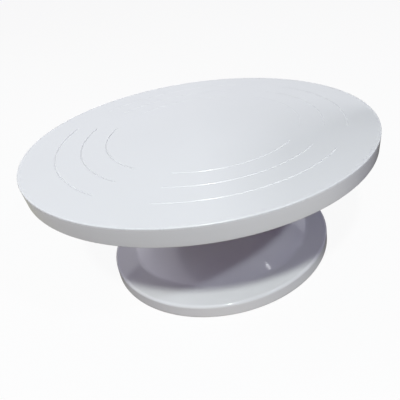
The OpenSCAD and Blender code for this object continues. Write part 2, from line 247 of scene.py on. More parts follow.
def grey_plastic(name, base):
    """Spark-textured matt plastic of the bottom cover."""
    g = G(name)
    tex = g.noise(1500.0, 2.0, 0.6, seed=1)
    drift = g.noise(12.0, 3.0, 0.6, seed=2)
    rub = g.ramp(g.noise(45.0, 4.0, 0.65, seed=3), 0.52, 0.72)
    col = g.mix(g.ramp(drift, 0.3, 0.7), tint(base, 0.93), tint(base, 1.04))
    col = g.mix(g.math("MULTIPLY", rub, 0.25), col, tint(base, 1.15))
    rr = g.ramp(tex, 0.3, 0.7, 0.5, 0.68)
    rr = g.math("SUBTRACT", rr, g.math("MULTIPLY", rub, 0.12))
    return g.set(color=col, rough=rr, normal=g.bump(tex, 0.00012, 0.5), spec=0.4)


def rubber(name, base):
    g = G(name)
    tex = g.noise(900.0, 3.0, 0.6, seed=5)
    dust = g.ramp(g.noise(70.0, 4.0, 0.7, seed=6), 0.5, 0.8)
    col = g.mix(g.math("MULTIPLY", dust, 0.35), base, (0.2, 0.19, 0.18))
    rr = g.ramp(tex, 0.3, 0.7, 0.62, 0.85)
    return g.set(color=col, rough=rr, normal=g.bump(tex, 0.0001, 0.5), spec=0.35)


def turned_metal(name, base, rough, lines=5200.0, tarnish=0.2, seed=0.0):
    """Turned or ground steel: fine rings round the axis, light tarnish."""
    g = G(name)
    r, a, z = polar(g)
    v = g.combine(g.math("MULTIPLY", r, lines), g.math("MULTIPLY", a, 1.3), g.math("MULTIPLY", z, lines))
    ln = g.noise(1.0, 3.0, 0.6, vec=v, seed=seed)
    spots = g.ramp(g.noise(160.0, 4.0, 0.65, seed=seed + 1), 0.5, 0.8)
    col = g.mix(g.ramp(ln, 0.3, 0.7), tint(base, 0.9), tint(base, 1.05))
    col = g.mix(g.math("MULTIPLY", spots, tarnish), col, tint(base, 0.62))
    rr = g.ramp(ln, 0.3, 0.7, rough * 0.75, rough * 1.3)
    rr = g.math("ADD", rr, g.math("MULTIPLY", spots, 0.12))
    return g.set(color=col, rough=rr, metal=1.0, normal=g.bump(ln, 0.00001, 0.5))


def plated_metal(name, base, rough, seed=0.0):
    """Zinc plating: cloudy grain with small crystals."""
    g = G(name)
    grain = g.noise(700.0, 3.0, 0.6, seed=seed)
    cloud = g.noise(60.0, 4.0, 0.6, seed=seed + 1)
    cells = g.voronoi(900.0)
    col = g.mix(g.ramp(cloud, 0.3, 0.7), tint(base, 0.86), tint(base, 1.06))
    col = g.mix(g.ramp(cells, 0.1, 0.7, 0.0, 0.25), col, (base[0] * 0.95, base[1] * 0.98, base[2] * 1.05))
    rr = g.ramp(grain, 0.3, 0.7, rough * 0.8, rough * 1.3)
    return g.set(color=col, rough=rr, metal=1.0, normal=g.bump(grain, 0.00002, 0.4))


def cast_metal(name, base):
    """Die-cast aluminium: skin with fine grain, slight pitting."""
    g = G(name)
    skin = g.noise(420.0, 5.0, 0.65, seed=3)
    pits = g.ramp(g.voronoi(380.0), 0.16, 0.06)
    cloud = g.noise(30.0, 3.0, 0.6, seed=4)
    col = g.mix(g.ramp(cloud, 0.3, 0.7), tint(base, 0.85), tint(base, 1.04))
    col = g.mix(g.math("MULTIPLY", pits, 0.4), col, tint(base, 0.55))
    rr = g.ramp(skin, 0.3, 0.7, 0.38, 0.58)
    h = g.math("SUBTRACT", skin, g.math("MULTIPLY", pits, 0.6))
    return g.set(color=col, rough=rr, metal=1.0, normal=g.bump(h, 0.00008, 0.5))


def plain_plastic(name, base, rough):
    g = G(name)
    a = g.noise(300.0, 3.0, 0.6, seed=8)
    b = g.noise(40.0, 2.0, 0.5, seed=9)
    col = g.mix(g.ramp(b, 0.3, 0.7), tint(base, 0.94), tint(base, 1.03))
    return g.set(color=col, rough=g.ramp(a, 0.3, 0.7, rough * 0.85, rough * 1.15), normal=g.bump(a, 0.00003, 0.4))


MAT = {
    "plate_plastic": white_plastic("plate_plastic", (0.845, 0.855, 0.87), 0.055, 0.5, 0.6, 0.0, cad_hi.z),
    "pedestal_plastic": white_plastic("pedestal_plastic", (0.83, 0.835, 0.85), 0.09, 0.5, 0.35, 40.0),
    "cover_plastic": grey_plastic("cover_plastic", (0.5, 0.51, 0.53)),
    "foot_rubber": rubber("foot_rubber", (0.045, 0.045, 0.05)),
    "zinc_steel": plated_metal("zinc_steel", (0.66, 0.67, 0.69), 0.34, 1.0),
    "screw_steel": plated_metal("screw_steel", (0.6, 0.61, 0.63), 0.28, 6.0),
    "ground_steel": turned_metal("ground_steel", (0.64, 0.65, 0.67), 0.22, 4200.0, 0.15, 2.0),
    "bearing_steel": turned_metal("bearing_steel", (0.7, 0.71, 0.73), 0.16, 6500.0, 0.1, 5.0),
    "ball_steel": turned_metal("ball_steel", (0.8, 0.81, 0.83), 0.06, 300.0, 0.05, 9.0),
    "cage_brass": plated_metal("cage_brass", (0.72, 0.55, 0.24), 0.3, 12.0),
    "cast_aluminium": cast_metal("cast_aluminium", (0.62, 0.63, 0.65)),
    "acetal": plain_plastic("acetal", (0.83, 0.8, 0.72), 0.42),
    "spring_steel": plated_metal("spring_steel", (0.12, 0.12, 0.13), 0.42, 15.0),
}
slots = {s["node"]: s["material_slot"] for s in frame["record"]["subparts"]}
for name, ob in nodes.items():
    ob.data.materials.clear()
    ob.data.materials.append(MAT[slots[name]])


# ------------------------------------------------------------ visual meshes
MM = 0.001
H = (cad_hi.z - 0.0) / MM                                   # plate top, mm
PR = (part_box("turntable_plate")[1].x) / MM                  # plate radius, mm
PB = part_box("turntable_plate")[0].z / MM                    # skirt's lower edge
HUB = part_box("hub_flange")[1].z / MM + 0.02                 # seat of the hub flange
FOOT = 107.0
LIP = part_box("pedestal_shell")[1].z / MM
FLOOR_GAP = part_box("pedestal_shell")[0].z / MM
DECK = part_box("bearing_housing")[1].z / MM - 4.0
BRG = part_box("bearing_outer_ring")[0].z / MM
RINGS = (85.0, 105.0, 125.0)
ARC_MID, ARC_SPAN = 23.0, 69.0


def arc2(cx, cz, r, a0, a1, n):
    return [(cx + r * math.cos(math.radians(a0 + (a1 - a0) * i / n)),
             cz + r * math.sin(math.radians(a0 + (a1 - a0) * i / n))) for i in range(n + 1)]


def seg2(a, b, n):
    return [(a[0] + (b[0] - a[0]) * i / n, a[1] + (b[1] - a[1]) * i / n) for i in range(1, n)]


def revolve(name, profile, angles, closed=True, height=None):
    """A body of revolution from a closed (r, z) loop in mm. Points on the axis share one vertex.
    height(r, z, angle, k) may move a point up or down: it cuts the guide grooves."""
    tidy = [profile[0]]
    for p in profile[1:]:
        if abs(p[0] - tidy[-1][0]) + abs(p[1] - tidy[-1][1]) > 0.004:
            tidy.append(p)
    profile = tidy
    bm = bmesh.new()
    n = len(profile)
    rows = []
    pole = {}
    for a in angles:
        ca, sa = math.cos(a), math.sin(a)
        row = []
        for k, (r, z) in enumerate(profile):
            if r < 1e-6:
                if k not in pole:
                    pole[k] = bm.verts.new((0, 0, z * MM))
                row.append(pole[k])
            else:
                zz = z + (height(r, z, a, k) if height else 0.0)
                row.append(bm.verts.new((r * ca * MM, r * sa * MM, zz * MM)))
        rows.append(row)
    m = len(angles)
    for i in range(m):
        p, q = rows[i], rows[(i + 1) % m]
        for k in range(n if closed else n - 1):
            k2 = (k + 1) % n
            f = []
            for v in (p[k], q[k], q[k2], p[k2]):
                if v not in f:
                    f.append(v)
            if len(f) > 2:
                bm.faces.new(f)
    bmesh.ops.recalc_face_normals(bm, faces=bm.faces)
    me = bpy.data.meshes.new(name)
    bm.to_mesh(me)
    bm.free()
    ob = bpy.data.objects.new(name, me)
    sc.collection.objects.link(ob)
    return ob


def join(ob, others, kind="UNION"):
    """Joins or cuts closed solids exactly, and keeps one mesh."""
    for o in others:
        md = ob.modifiers.new("b", "BOOLEAN")
        md.operation = kind
        md.solver = "EXACT"
        md.object = o
    dg = bpy.context.evaluated_depsgraph_get()
    dg.update()
    me = bpy.data.meshes.new_from_object(ob.evaluated_get(dg))
    ob.modifiers.clear()
    old = ob.data
    ob.data = me
    bpy.data.meshes.remove(old)
    for o in others:
        d = o.data
        bpy.data.objects.remove(o)
        bpy.data.meshes.remove(d)
    return ob


def merge(name, obs):
    """Puts several solids that stay clear of each other in one object."""
    bm = bmesh.new()
    for o in obs:
        bm.from_mesh(o.data)
    me = bpy.data.meshes.new(name)
    bm.to_mesh(me)
    bm.free()
    for o in obs:
        d = o.data
        bpy.data.objects.remove(o)
        bpy.data.meshes.remove(d)
    ob = bpy.data.objects.new(name, me)
    sc.collection.objects.link(ob)
    return ob


def smooth(ob, angle=32.0):
    me = ob.data
    me.shade_smooth()
    me.set_sharp_from_angle(angle=math.radians(angle))


# angles: even, with extra stations where a guide groove starts and ends
def plate_angles():
    out = set(round(i * 360.0 / 480, 4) for i in range(480))
    for g in range(4):
        mid = ARC_MID + 90 * g
        for e in (mid - ARC_SPAN / 2, mid + ARC_SPAN / 2):
            for d in (-0.6, -0.45, -0.35, -0.25, -0.15, -0.05, 0.05, 0.15, 0.25, 0.35, 0.45, 0.6):
                out.add(round((e + d) % 360.0, 4))
    out = sorted(out)
    keep = [out[0]]
    for a in out[1:]:
        if a - keep[-1] > 0.045:
            keep.append(a)
    return [math.radians(a) for a in keep]


# guide groove, mm: lowest line, widths of the steep inner side and the gentle outer side, depth
G0, GI, GO, GD = -0.18, 0.36, 0.88, 0.30
# share of that depth in the groups that start at 23, 113, 203 and 293 degrees
G_SHARE = (0.25, 0.38, 1.0, 1.0)


def groove(r, z, a, k):
    if z < H - 0.01 or r > 140:
        return 0.0
    for rr in RINGS:
        d = abs(r - rr)
        if d < 1.0:
            deg = math.degrees(a)
            t = (deg - ARC_MID + 45.0) % 90.0 - 45.0
            over = (abs(t) - ARC_SPAN / 2) * math.pi / 180.0 * rr     # mm past the groove's end
            share = G_SHARE[int(round((deg - t - ARC_MID) / 90.0)) % 4]
            e = r - rr - G0
            q = math.hypot(e / (GI if e < 0 else GO), max(0.0, over + 0.5) / 0.5)
            if q < 1.0:
                return -GD * share * 0.5 * (1.0 + math.cos(math.pi * q))
    return 0.0


def build_plate():
    er = 1.0
    top = [(0.0, H), (12.0, H), (30.0, H), (50.0, H), (68.0, H)]
    for rr in RINGS:
        if rr > RINGS[0]:
            top.append((rr - 10, H))
        for d in (-0.8, -0.66, -0.54, -0.48, -0.42, -0.36, -0.30, -0.24, -0.18, -0.08, 0.04, 0.16, 0.28, 0.40, 0.52, 0.62, 0.70, 0.88):
            top.append((rr + d, H))
    top += [(136, H), (PR - er - 4, H)]
    b = PB
    ro = PR - 0.8
    ri = ro - 2.8
    under = H - 4.0
    # outer edge, skirt, lower lip, inside of the skirt, underside
    prof = top + arc2(PR - er, H - er, er, 90, 1.5, 14)
    prof += seg2(prof[-1], (ro, b + 0.8), 3)
    prof += arc2(ro - 0.8, b + 0.8, 0.8, 0, -90, 6)
    prof += arc2(ri + 0.5, b + 0.5, 0.5, 270, 180, 4)
    prof += seg2((ri, b + 0.5), (ri + 0.2, under - 2.0), 2)
    prof += arc2(ri - 1.8, under - 2.0, 2.0, 0, 90, 6)
    prof += [(148.0 - 6, under), (113.0, under), (75.0, under), (38.0, under), (0.0, under)]
    ob = revolve("turntable_plate_moulding", prof, plate_angles(), height=groove)
    return ob


def build_ribs():
    """Ribs, rings and bosses under the plate: one closed network, tops sunk into the disc."""
    zt = H - 4.0 + 0.4
    zb = HUB
    parts = []
    full = [math.radians(i * 2.0 + 0.371) for i in range(180)]
    for r in (11.0, 38.0, 75.0, 112.0):
        n = full if r > 20 else [math.radians(i * 6.0 + 0.371) for i in range(60)]
        zb = HUB + 0.03
        t0, t1 = 1.15, 1.35
        prof = [(r - t1, zt), (r - t0, zb + 0.35), (r - t0 + 0.35, zb), (r + t0 - 0.35, zb), (r + t0, zb + 0.35), (r + t1, zt)]
        parts.append(revolve("ring", prof, n))
    zb = HUB + 0.07
    for i in range(12):
        bm = bmesh.new()
        a = math.radians(i * 30)
        x0, x1 = 10.6, PR - 0.8 - 2.8 + 1.0
        sec = [(-1.15, zt), (-0.95, zb + 0.3), (-0.65, zb), (0.65, zb), (0.95, zb + 0.3), (1.15, zt)]
        rings = []
        for x in (x0, x1):
            rings.append([bm.verts.new(((x * math.cos(a) - y * math.sin(a)) * MM, (x * math.sin(a) + y * math.cos(a)) * MM, z * MM)) for y, z in sec])
        k = len(sec)
        for j in range(k):
            bm.faces.new((rings[0][j], rings[0][(j + 1) % k], rings[1][(j + 1) % k], rings[1][j]))
        bm.faces.new(rings[0][::-1])
        bm.faces.new(rings[1])
        bmesh.ops.recalc_face_normals(bm, faces=bm.faces)
        me = bpy.data.meshes.new("rib")
        bm.to_mesh(me)
        bm.free()
        o = bpy.data.objects.new("rib", me)
        sc.collection.objects.link(o)
        parts.append(o)
    zb = HUB
    for i in range(4):
        a = math.radians(45 + i * 90)
        o = revolve("boss", [(0.0, zt), (0.0, zb + 0.0), (4.1, zb), (4.45, zb + 0.35), (4.6, zt)], [math.radians(k * 10.0 + 3.17) for k in range(36)])
        o.data.transform(Matrix.Translation((27 * MM * math.cos(a), 27 * MM * math.sin(a), 0)))
        parts.append(o)
    return parts


def pin(r0, a0, z0, z1, rad, n=32):
    """A plain round cutter, standing at radius r0 and angle a0 (degrees)."""
    o = revolve("pin", [(0.0, z0), (rad, z0), (rad, z1), (0.0, z1)], [math.radians(k * 360.0 / n + 3.71 + 0.137 * a0) for k in range(n)])
    a = math.radians(a0)
    o.data.transform(Matrix.Translation((r0 * MM * math.cos(a), r0 * MM * math.sin(a), 0)))
    return o


# pedestal section: foot rim, flange, cone, neck, each blended into the next
CONE = 40.0
F0 = Vector((FOOT - 2.7, 13.1))
FLARE = Vector((86.5, 14.2))
FA = math.degrees(math.atan2(FLARE.y - F0.y, F0.x - FLARE.x))
N1 = Vector((math.sin(math.radians(FA)), math.cos(math.radians(FA))))
N2 = Vector((math.sin(math.radians(CONE)), math.cos(math.radians(CONE))))
N3 = Vector((1.0, 0.0))
D1 = Vector((-N1.y, N1.x))
D2 = Vector((-N2.y, N2.x))
NECK = 42.0
WAIST = Vector((NECK, FLARE.y + (FLARE.x - NECK) * math.tan(math.radians(CONE))))
BL1, BL2 = 7.0, 36.0
SHELL = 3.2


def skin(o, zb, zt, fine=1):
    """Points up the pedestal's side, moved inwards by o, from height zb to zt."""
    v = FLARE - (N1 + N2) * (o / (1 + N1.dot(N2)))
    w = WAIST - (N2 + N3) * (o / (1 + N2.dot(N3)))
    f = F0 - N1 * o
    t1 = (BL1 + o) * math.tan(math.radians((CONE - FA) / 2))
    t2 = (BL2 + o) * math.tan(math.radians((90 - CONE) / 2))
    c1 = v - D1 * t1 + N1 * (BL1 + o)
    c2 = Vector((w.x + BL2 + o, w.y + t2))
    rr = max(2.7 - o, 0.4)
    fr = FOOT - o
    lo, hi = (fr + 0.3 * (f.y - rr - zb) / 12.0, zb), (fr, f.y - rr)
    pts = [lo] + seg2(lo, hi, 4) + arc2(fr - rr, f.y - rr, rr, 0, 90, 10 * fine)
    a = (v - D1 * t1)
    if pts[-1][0] - f.x > 0.02:
        pts.append((f.x, f.y))
    pts += seg2(pts[-1], (a.x, a.y), 5)
    pts += arc2(c1.x, c1.y, BL1 + o, 270 - FA, 270 - CONE, 10 * fine)
    b = w - D2 * t2
    pts += seg2(pts[-1], (b.x, b.y), 10)
    pts += arc2(c2.x, c2.y, BL2 + o, 270 - CONE, 180, 16 * fine)
    pts += seg2(pts[-1], (w.x, zt), 4) + [(w.x, zt)]
    return pts


def corners(pts):
    """Drops the points that only divide a straight run."""
    out = []
    n = len(pts)
    for i in range(n):
        a, b, c = Vector(pts[i - 1]), Vector(pts[i]), Vector(pts[(i + 1) % n])
        if (b - a).length < 0.01:
            continue
        u, v = (b - a).normalized(), (c - b)
        if v.length < 1e-6 or abs(u.x * v.y - u.y * v.x) / v.length > 0.002:
            out.append(pts[i])
    return out


def height_at(pts, r):
    for (r0, z0), (r1, z1) in zip(pts, pts[1:]):
        if r1 <= r <= r0 and r0 - r1 > 1e-9:
            return z0 + (z1 - z0) * (r0 - r) / (r0 - r1)
    return pts[-1][1]


def build_pedestal():
    outer = skin(0.0, FLOOR_GAP, LIP - 1.0, 2)
    outer[0] = (outer[0][0], FLOOR_GAP + 0.5)
    outer = [(outer[0][0] - 0.5, FLOOR_GAP), (outer[0][0] - 0.15, FLOOR_GAP + 0.15)] + outer
    prof = outer + arc2(NECK - 1, LIP - 1, 1.0, 0, 90, 6)[1:]
    prof += arc2(NECK - SHELL + 1.2, LIP - 1, 1.0, 90, 180, 6)
    ri = NECK - SHELL + 0.2
    prof += arc2(ri - 0.8, DECK + 0.8, 0.8, 0, -90, 4)
    prof += [(21.0, DECK), (20.4, DECK - 0.6), (20.4, BRG + 2.0), (23.5, BRG + 2.0), (23.5, DECK - 4.8)]
    prof += arc2(24.3, DECK - 4.8, 0.8, 180, 90, 4)[1:]
    inner = skin(SHELL, FLOOR_GAP, DECK - 4.0, 1)
    prof += [(inner[-1][0] - 6, DECK - 4.0)] + inner[::-1]
    n = 360
    ob = revolve("pedestal_moulding", prof, [2 * math.pi * i / n for i in range(n)])
    bed = skin(SHELL - 0.8, FLOOR_GAP, DECK - 3.2, 1)
    extra = []
    for i in range(8):
        a = math.radians(22.5 + 45 * i)
        line = [p for p in bed if p[1] > 8.0]
        line = [(line[0][0], 8.0)] + line
        poly = [(66.0, 8.0)] + line + [(22.0, DECK - 3.2), (22.0, BRG + 4.0)]
        poly = corners(poly)
        bm = bmesh.new()
        sides = []
        for y in (-1.2, 1.2):
            sides.append([bm.verts.new(((r * math.cos(a) - y * math.sin(a)) * MM, (r * math.sin(a) + y * math.cos(a)) * MM, z * MM)) for r, z in poly])
        k = len(poly)
        for j in range(k):
            bm.faces.new((sides[0][j], sides[0][(j + 1) % k], sides[1][(j + 1) % k], sides[1][j]))
        bm.faces.new(sides[0][::-1])
        bm.faces.new(sides[1])
        bmesh.ops.recalc_face_normals(bm, faces=bm.faces)
        me = bpy.data.meshes.new("web")
        bm.to_mesh(me)
        bm.free()
        o = bpy.data.objects.new("web", me)
        sc.collection.objects.link(o)
        extra.append(o)
    for i in range(4):
        extra.append(pin(29.0, 90 * i, DECK - 18.0, DECK - 3.0, 5.0))
    for i in range(6):
        o = pin(80.0, 60 * i, 5.0, 40.0, 4.5)
        for v in o.data.vertices:
            if v.co.z > 0.03:
                r = math.hypot(v.co.x, v.co.y) / MM
                v.co.z = (height_at(bed, r) + 0.3) * MM
        extra.append(o)
    join(ob, [merge("inside", extra)])
    cuts = [pin(29.0, 90 * i, DECK - 15.5, DECK + 4.0, 2.1, 24) for i in range(4)]
    cuts += [pin(80.0, 60 * i, 3.0, 15.5, 1.7, 24) for i in range(6)]
    join(ob, [merge("cuts", cuts)], "DIFFERENCE")
    return ob


def build_cover():
    """Bottom cover: rounded rim, dished middle with webs and a gate mark, screw holes and seats for the feet."""
    lo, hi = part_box("base_cover")
    z0, z1, ro = lo.z / MM, hi.z / MM, hi.x / MM
    prof = [(0.0, z0 + 0.75), (2.0, z0 + 0.75), (2.35, z0 + 0.5)] + seg2((2.35, z0 + 0.5), (60.5, z0 + 0.5), 4)
    prof += arc2(60.5, z0 + 0.9, 0.4, 270, 330, 3) + arc2(61.4, z0 + 0.35, 0.35, 160, 270, 4)
    prof += [(76.0, z0), (84.0, z0), (96.0, z0)] + arc2(ro - 0.5, z0 + 0.5, 0.5, 270, 360, 6)
    prof += arc2(ro - 0.3, z1 - 0.3, 0.3, 0, 90, 4) + [(80.0, z1), (40.0, z1), (0.0, z1)]
    ob = revolve("bottom_cover_moulding", prof, [math.radians(i * 1.5) for i in range(240)])
    webs = []
    for i in range(6):
        a = math.radians(30 + 60 * i)
        sec = [(-1.0, z0 + 0.9), (-0.8, z0 + 0.2), (-0.6, z0 + 0.08), (0.6, z0 + 0.08), (0.8, z0 + 0.2), (1.0, z0 + 0.9)]
        bm = bmesh.new()
        ends = [[bm.verts.new(((x * math.cos(a) - y * math.sin(a)) * MM, (x * math.sin(a) + y * math.cos(a)) * MM, z * MM))
                 for y, z in sec] for x in (12.0, 62.5)]
        k = len(sec)
        for j in range(k):
            bm.faces.new((ends[0][j], ends[0][(j + 1) % k], ends[1][(j + 1) % k], ends[1][j]))
        bm.faces.new(ends[0][::-1])
        bm.faces.new(ends[1])
        bmesh.ops.recalc_face_normals(bm, faces=bm.faces)
        me = bpy.data.meshes.new("web")
        bm.to_mesh(me)
        bm.free()
        o = bpy.data.objects.new("web", me)
        sc.collection.objects.link(o)
        webs.append(o)
    ring = revolve("web", [(10.9, z0 + 0.95), (11.1, z0 + 0.2), (11.3, z0 + 0.05), (12.7, z0 + 0.05), (12.9, z0 + 0.2), (13.1, z0 + 0.95)],
                   [math.radians(i * 4.0 + 0.37) for i in range(90)])
    join(ob, [merge("webs", webs)])
    join(ob, [ring])
    cuts = [pin(80.0, 60 * i, z0 - 1.0, z1 + 1.0, 2.2, 32) for i in range(6)]
    cuts += [pin(92.0, 30 + 60 * i, z0 - 1.0, z0 + 0.5, 9.1, 64) for i in range(6)]
    join(ob, [merge("cuts", cuts)], "DIFFERENCE")
    return ob


def build_feet():
    """Six rubber pads with grip rings moulded in the sole."""
    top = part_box("rubber_feet")[1].z / MM
    pads = []
    for i in range(6):
        prof = [(0.0, 0.0)] + arc2(2.0, 0.25, 0.25, 270, 330, 2) + [(2.45, 0.45), (3.25, 0.45)]
        prof += arc2(3.75, 0.25, 0.25, 210, 270, 2) + arc2(5.0, 0.25, 0.25, 270, 330, 2) + [(5.45, 0.45), (6.05, 0.45)]
        prof += arc2(6.55, 0.25, 0.25, 210, 270, 2) + arc2(8.1, 0.9, 0.9, 270, 360, 6)
        prof += [(9.0, top - 0.15), (8.85, top), (0.0, top)]
        o = revolve("pad", prof, [math.radians(k * 5.0) for k in range(72)])
        a = math.radians(30 + 60 * i)
        o.data.transform(Matrix.Translation((92 * MM * math.cos(a), 92 * MM * math.sin(a), 0)))
        pads.append(o)
    return merge("rubber_foot_pads", pads)


def tidy(ob):
    """Welds the near-coincident points that a Boolean leaves and drops faces with no area."""
    bm = bmesh.new()
    bm.from_mesh(ob.data)
    bmesh.ops.remove_doubles(bm, verts=bm.verts, dist=1.5e-6)
    bmesh.ops.triangulate(bm, faces=[f for f in bm.faces if len(f.verts) > 4])
    bmesh.ops.dissolve_degenerate(bm, dist=1e-7, edges=bm.edges)
    bm.to_mesh(ob.data)
    bm.free()


def piece(ob, body, slot, *replaced):
    tidy(ob)
    smooth(ob)
    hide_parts(*replaced)
    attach(ob, body)
    ob.data.materials.clear()
    ob.data.materials.append(MAT[slot])
    return ob


plate = build_plate()
under = build_ribs()
join(plate, [merge("rib_rings", under[:4])])
join(plate, [merge("rib_webs", under[4:16])])
join(plate, [merge("rib_bosses", under[16:])])
join(plate, [merge("pilot_holes", [pin(27.0, 45 + 90 * i, HUB - 1, HUB + 7, 1.7, 24) for i in range(4)])], "DIFFERENCE")
piece(plate, "rotor", "plate_plastic", "turntable_plate")
piece(build_pedestal(), "base", "pedestal_plastic", "pedestal_shell")
piece(build_cover(), "base", "cover_plastic", "base_cover")
piece(build_feet(), "base", "foot_rubber", "rubber_feet")


# ---------------------------------------------------------------------- stage
def stage_floor():
    bm = bmesh.new()
    bmesh.ops.create_circle(bm, cap_ends=True, segments=96, radius=6.0)
    me = bpy.data.meshes.new("studio_floor")
    bm.to_mesh(me)
    bm.free()
    ob = bpy.data.objects.new("studio_floor", me)
    sc.collection.objects.link(ob)
    g = G("studio_floor")
    path = g.n("ShaderNodeLightPath")
    eye, gloss = path.outputs["Is Camera Ray"], path.outputs["Is Glossy Ray"]
    soft = g.noise(3.0, 2.0, 0.5)
    seen = g.mix(soft, (0.80, 0.80, 0.81), (0.83, 0.83, 0.84))
    x, y, z = g.xyz()
    turn = g.math("ADD", g.math("MULTIPLY", g.math("ARCTAN2", y, x), 1 / (2 * math.pi)), 0.5)
    rad = g.math("SQRT", g.math("ADD", g.math("MULTIPLY", x, x), g.math("MULTIPLY", y, y)))
    # painted light and shadow on the table close to the foot, in the colour that bounce light picks up: lit brighter in
    # front of it, shadowed on its right
    painted_floor_light = g.n("ShaderNodeValToRGB")
    g.link(turn, painted_floor_light.inputs[0])
    stops = ((0.0, 0.7), (0.10, 0.8), (0.18, 1.3), (0.25, 2.1), (0.33, 1.4), (0.40, 0.7), (0.45, 0.3), (0.50, 0.1), (0.70, 0.1), (0.85, 0.5), (1.0, 0.7))
    while len(painted_floor_light.color_ramp.elements) < len(stops):
        painted_floor_light.color_ramp.elements.new(0.5)
    for e, (p, v) in zip(painted_floor_light.color_ramp.elements, stops):
        e.position = p
        e.color = (v * FLOOR_TONE[0], v * FLOOR_TONE[1], v * FLOOR_TONE[2], 1)
    painted_bounce_tone = g.mix(g.ramp(rad, 0.16, 0.22, 0.0, 1.0), painted_floor_light.outputs[0], FLOOR_TONE)
    g.set(color=g.mix(eye, painted_bounce_tone, seen), rough=0.7, spec=0.0)
    # painted reflection: in glossy rays the floor glows with the table's brightness, set by direction from the stand,
    # as it looks in the gloss of the walls
    table = g.n("ShaderNodeValToRGB")
    g.link(turn, table.inputs[0])
    stops = ((0.0, 0.45), (0.10, 0.55), (0.22, 0.75), (0.30, 1.0), (0.38, 1.1), (0.42, 0.9), (0.46, 0.40), (0.50, 0.10), (0.70, 0.10), (0.85, 0.35), (1.0, 0.45))
    while len(table.color_ramp.elements) < len(stops):
        table.color_ramp.elements.new(0.5)
    for e, (p, v) in zip(table.color_ramp.elements, stops):
        e.position = p
        e.color = (v / 1.2, v / 1.2, v / 1.2 * 0.86, 1)
    painted_reflection_glow = g.n("ShaderNodeEmission")
    painted_reflection_glow.name = "painted_table_reflection"
    g.link(table.outputs[0], painted_reflection_glow.inputs["Color"])
    g.put(painted_reflection_glow.inputs["Strength"], g.math("MULTIPLY", g.ramp(rad, 0.105, 0.16, 0.5, 1.0), 1.2 * POWER["table"]))
    glow = g.n("ShaderNodeEmission")
    glow.inputs["Color"].default_value = (1, 1, 1, 1)
    glow.inputs["Strength"].default_value = 1.0
    m1 = g.n("ShaderNodeMixShader")
    g.link(gloss, m1.inputs[0])
    g.link(g.b.outputs[0], m1.inputs[1])
    g.link(painted_reflection_glow.outputs[0], m1.inputs[2])
    mixs = g.n("ShaderNodeMixShader")
    g.link(g.math("MULTIPLY", eye, FLOOR_WHITE), mixs.inputs[0])
    g.link(m1.outputs[0], mixs.inputs[1])
    g.link(glow.outputs[0], mixs.inputs[2])
    g.link(mixs.outputs[0], g.out.inputs["Surface"])
    me.materials.append(g.m)
    return ob


def drive(owner, path, expr, variables, index=-1):
    f = owner.driver_add(path, index) if index >= 0 else owner.driver_add(path)
    f.driver.type = "SCRIPTED"
    for nm, channel in variables:
        v = f.driver.variables.new()
        v.name = nm
        v.type = "TRANSFORMS"
        v.targets[0].id = cam_ob
        v.targets[0].transform_type = channel
        v.targets[0].transform_space = "WORLD_SPACE"
    f.driver.expression = expr


def area(name, toward, dist, size, power, color=(1, 1, 1), aim=(0, 0, 0.09), spec=1.0):
    l = bpy.data.lights.new(name, "AREA")
    l.shape = "DISK"
    l.size = size
    l.energy = power
    l.color = color
    l.specular_factor = spec
    o = bpy.data.objects.new(name, l)
    sc.collection.objects.link(o)
    d = Vector(toward).normalized()
    o.location = Vector(aim) + d * dist
    o.rotation_euler = d.to_track_quat("Z", "Y").to_euler()
    return o


FLOOR_WHITE = 0.93
FLOOR_TONE = (0.26, 0.225, 0.195)
POWER = {"key": 25.8, "second": 8.5, "glint": 0.18, "left": 5.2, "top": 2.4, "sky": 0.15, "wall": 1.11, "dim": 0.06, "table": 1.08, "under": 7.0, "fill": 2.0}
# camera, from the fit of the plate, the foot and the guide rings
S = 1.0893e-3
EYE = Vector((47.87 * S, -319.47 * S, 238.7 * S + 0.001))
cam = bpy.data.cameras.new("camera")
cam_ob = bpy.data.objects.new("camera", cam)
sc.collection.objects.link(cam_ob)
cam.sensor_width = 36.0
cam.lens = 37.056
cam.clip_start = 0.01
cam.clip_end = 50.0
X_, Y_, Z_ = (0.9959, -0.04737, -0.07706), (0.09046, 0.52155, 0.84841), (0.0, -0.8519, 0.5237)
rot = Matrix(((X_[0], Y_[0], Z_[0]), (X_[1], Y_[1], Z_[1]), (X_[2], Y_[2], Z_[2])))
cam_ob.rotation_mode = "QUATERNION"
cam_ob.rotation_quaternion = rot.to_quaternion()
cam_ob.location = EYE
sc.camera = cam_ob
near = "abs(x - %.5f) < 0.0005 and abs(y - %.5f) < 0.0005" % (EYE.x, EYE.y)
drive(cam, "shift_x", "-0.17503 if (%s) else 0.0" % near, (("x", "LOC_X"), ("y", "LOC_Y")))
drive(cam, "shift_y", "-0.00878 if (%s) else 0.0" % near, (("x", "LOC_X"), ("y", "LOC_Y")))

floor = stage_floor()
# the floor drops out of the way when the camera looks up from below
drive(floor, "location", "-4.0 if z < 0.0 else 0.0", (("z", "LOC_Z"),), 2)

key = area("key", (0.032, -0.542, 0.84), 2.0, 0.16, POWER["key"], (0.942, 1.0, 0.932), (0.0, -0.15, 0.11))
area("second", (0.56, -0.43, 0.71), 2.0, 0.13, POWER["second"], (0.846, 0.918, 1.0), (0.118, -0.095, 0.11))
area("glint", (0.625, -0.24, 0.743), 1.6, 0.08, POWER["glint"], (1.0, 1.0, 1.0), (0.045, -0.07, 0.017)).visible_diffuse = False
area("left", (-0.80, 0.02, 0.60), 1.6, 0.6, POWER["left"], (0.951, 0.967, 1.0)).visible_glossy = False
area("top", (0.0, 0.3, 1.0), 1.8, 1.2, POWER["top"], (0.87, 1.0, 0.42))
